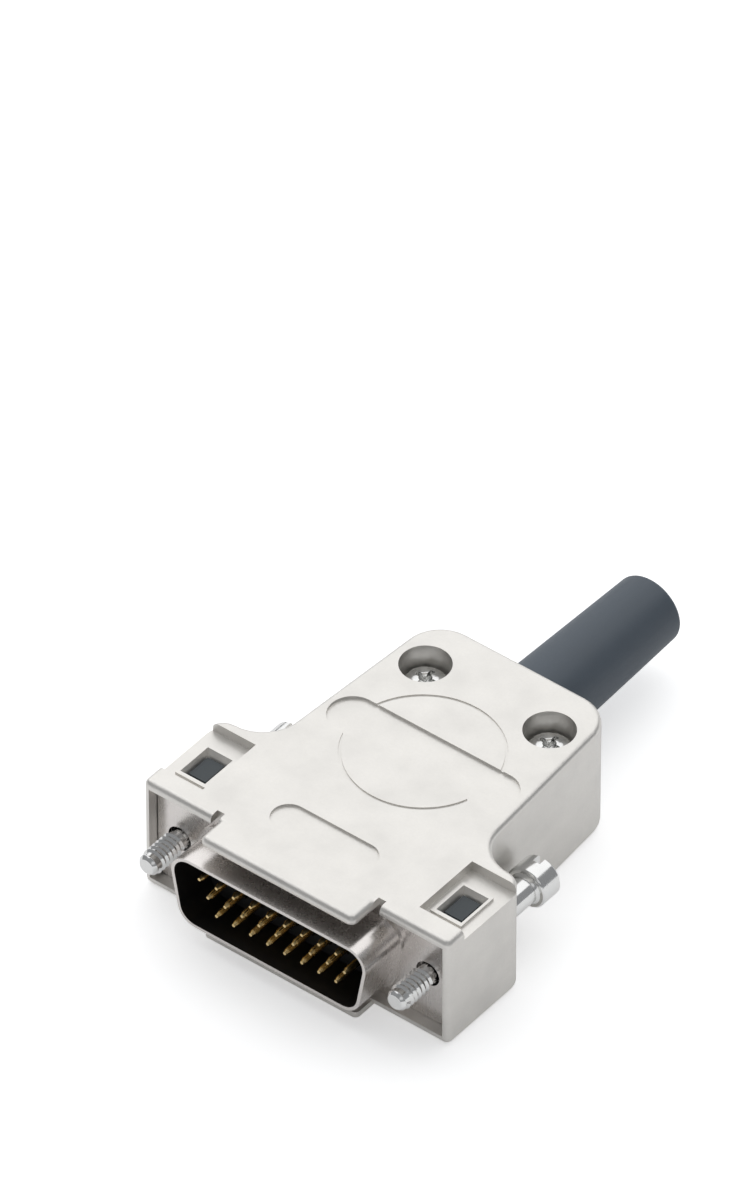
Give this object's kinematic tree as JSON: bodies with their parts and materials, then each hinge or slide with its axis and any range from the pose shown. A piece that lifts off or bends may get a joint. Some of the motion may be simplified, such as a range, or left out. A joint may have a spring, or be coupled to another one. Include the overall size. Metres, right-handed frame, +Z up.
{
  "type": "d-sub connector hood",
  "caption": "Die-cast metal hood that clamps a cable behind a D-shaped plug, with jackscrews, latches, strain relief and rubber boot.",
  "frame": {"origin": "on the underside of the bottom shell, at the middle of the front edge", "axes": "+Z up through the cover, +Y towards the cable and along the hood, +X across the ears to the right as seen from the cable side"},
  "size_m": [0.041, 0.0657, 0.0147],
  "materials": {
    "cast_shell": "matte nickel plate on a zinc casting",
    "cast_clamp": "matte nickel plate on a rough casting",
    "bright_strap": "bright plated sheet",
    "screw_plate": "bright nickel plate",
    "boot_rubber": "satin moulded rubber",
    "latch_plastic": "satin moulded plastic",
    "tin_shell": "tin-plated drawn sheet",
    "insulator": "matte moulded plastic",
    "contact_gold": "gold flash"
  },
  "bodies": {
    "base": {"bottom_shell": "cast_shell"},
    "cover": {"top_cover": "cast_shell"},
    "cover_screw_left": {"cover_screw_left": "screw_plate"},
    "cover_screw_right": {"cover_screw_right": "screw_plate"},
    "saddle": {"clamp_saddle": "bright_strap"},
    "saddle_screw_left": {"saddle_screw_left": "screw_plate"},
    "saddle_screw_right": {"saddle_screw_right": "screw_plate"},
    "clamp_block": {"clamp_block": "cast_clamp"},
    "lower_clip": {"boot_clip_lower": "cast_clamp"},
    "boot": {"boot": "boot_rubber"},
    "upper_clip": {"boot_clip_upper": "cast_clamp"},
    "plug": {"plug_front_shell": "tin_shell", "plug_rear_shell": "tin_shell", "plug_front_insulator": "insulator", "plug_rear_insulator": "insulator", "latch_left": "latch_plastic", "latch_right": "latch_plastic", "contact_01": "contact_gold", "contact_02": "contact_gold", "contact_03": "contact_gold", "contact_04": "contact_gold", "contact_05": "contact_gold", "contact_06": "contact_gold", "contact_07": "contact_gold", "contact_08": "contact_gold", "contact_09": "contact_gold", "contact_10": "contact_gold", "contact_11": "contact_gold", "contact_12": "contact_gold", "contact_13": "contact_gold", "contact_14": "contact_gold", "contact_15": "contact_gold", "contact_16": "contact_gold", "contact_17": "contact_gold", "contact_18": "contact_gold", "contact_19": "contact_gold", "contact_20": "contact_gold", "contact_21": "contact_gold", "contact_22": "contact_gold", "contact_23": "contact_gold", "contact_24": "contact_gold", "contact_25": "contact_gold", "contact_26": "contact_gold"},
    "jackscrew_left": {"jackscrew_left": "screw_plate"},
    "jackscrew_right": {"jackscrew_right": "screw_plate"}
  },
  "joints": [
    {"name": "cover_lift", "type": "slide", "parent": "base", "child": "cover", "axis": [0, 0, 1], "range_m": [0, 0.082]},
    {"name": "cover_screw_left_lift", "type": "slide", "parent": "cover", "child": "cover_screw_left", "axis": [0, 0, 1], "range_m": [0, 0.0095]},
    {"name": "cover_screw_right_lift", "type": "slide", "parent": "cover", "child": "cover_screw_right", "axis": [0, 0, 1], "range_m": [0, 0.0095]},
    {"name": "saddle_lift", "type": "slide", "parent": "base", "child": "saddle", "axis": [0, 0, 1], "range_m": [0, 0.041]},
    {"name": "saddle_screw_left_lift", "type": "slide", "parent": "saddle", "child": "saddle_screw_left", "axis": [0, 0, 1], "range_m": [0, 0.007]},
    {"name": "saddle_screw_right_lift", "type": "slide", "parent": "saddle", "child": "saddle_screw_right", "axis": [0, 0, 1], "range_m": [0, 0.007]},
    {"name": "block_lift", "type": "slide", "parent": "base", "child": "clamp_block", "axis": [0, 0, 1], "range_m": [0, 0.025]},
    {"name": "lower_clip_lift", "type": "slide", "parent": "base", "child": "lower_clip", "axis": [0, 0, 1], "range_m": [0, 0.01]},
    {"name": "boot_lift", "type": "slide", "parent": "base", "child": "boot", "axis": [0, 0, 1], "range_m": [0, 0.021]},
    {"name": "upper_clip_lift", "type": "slide", "parent": "base", "child": "upper_clip", "axis": [0, 0, 1], "range_m": [0, 0.034]},
    {"name": "plug_lift", "type": "slide", "parent": "base", "child": "plug", "axis": [0, 0, 1], "range_m": [0, 0.012]},
    {"name": "jackscrew_left_turn", "type": "hinge", "parent": "plug", "child": "jackscrew_left", "pos_m": [-0.01666, 0.01, 0.00735], "axis": [0, -1, 0], "continuous": true},
    {"name": "jackscrew_right_turn", "type": "hinge", "parent": "plug", "child": "jackscrew_right", "pos_m": [0.01666, 0.01, 0.00735], "axis": [0, -1, 0], "continuous": true}
  ],
  "couplings": [
    {"joint": "saddle_lift", "follows": "cover_lift", "ratio": 0.5},
    {"joint": "block_lift", "follows": "cover_lift", "ratio": 0.30488},
    {"joint": "lower_clip_lift", "follows": "cover_lift", "ratio": 0.12195},
    {"joint": "boot_lift", "follows": "cover_lift", "ratio": 0.2561},
    {"joint": "upper_clip_lift", "follows": "cover_lift", "ratio": 0.41463},
    {"joint": "plug_lift", "follows": "cover_lift", "ratio": 0.14634},
    {"joint": "saddle_screw_left_lift", "follows": "cover_lift", "ratio": 0.085365},
    {"joint": "saddle_screw_right_lift", "follows": "cover_lift", "ratio": 0.085365}
  ]
}
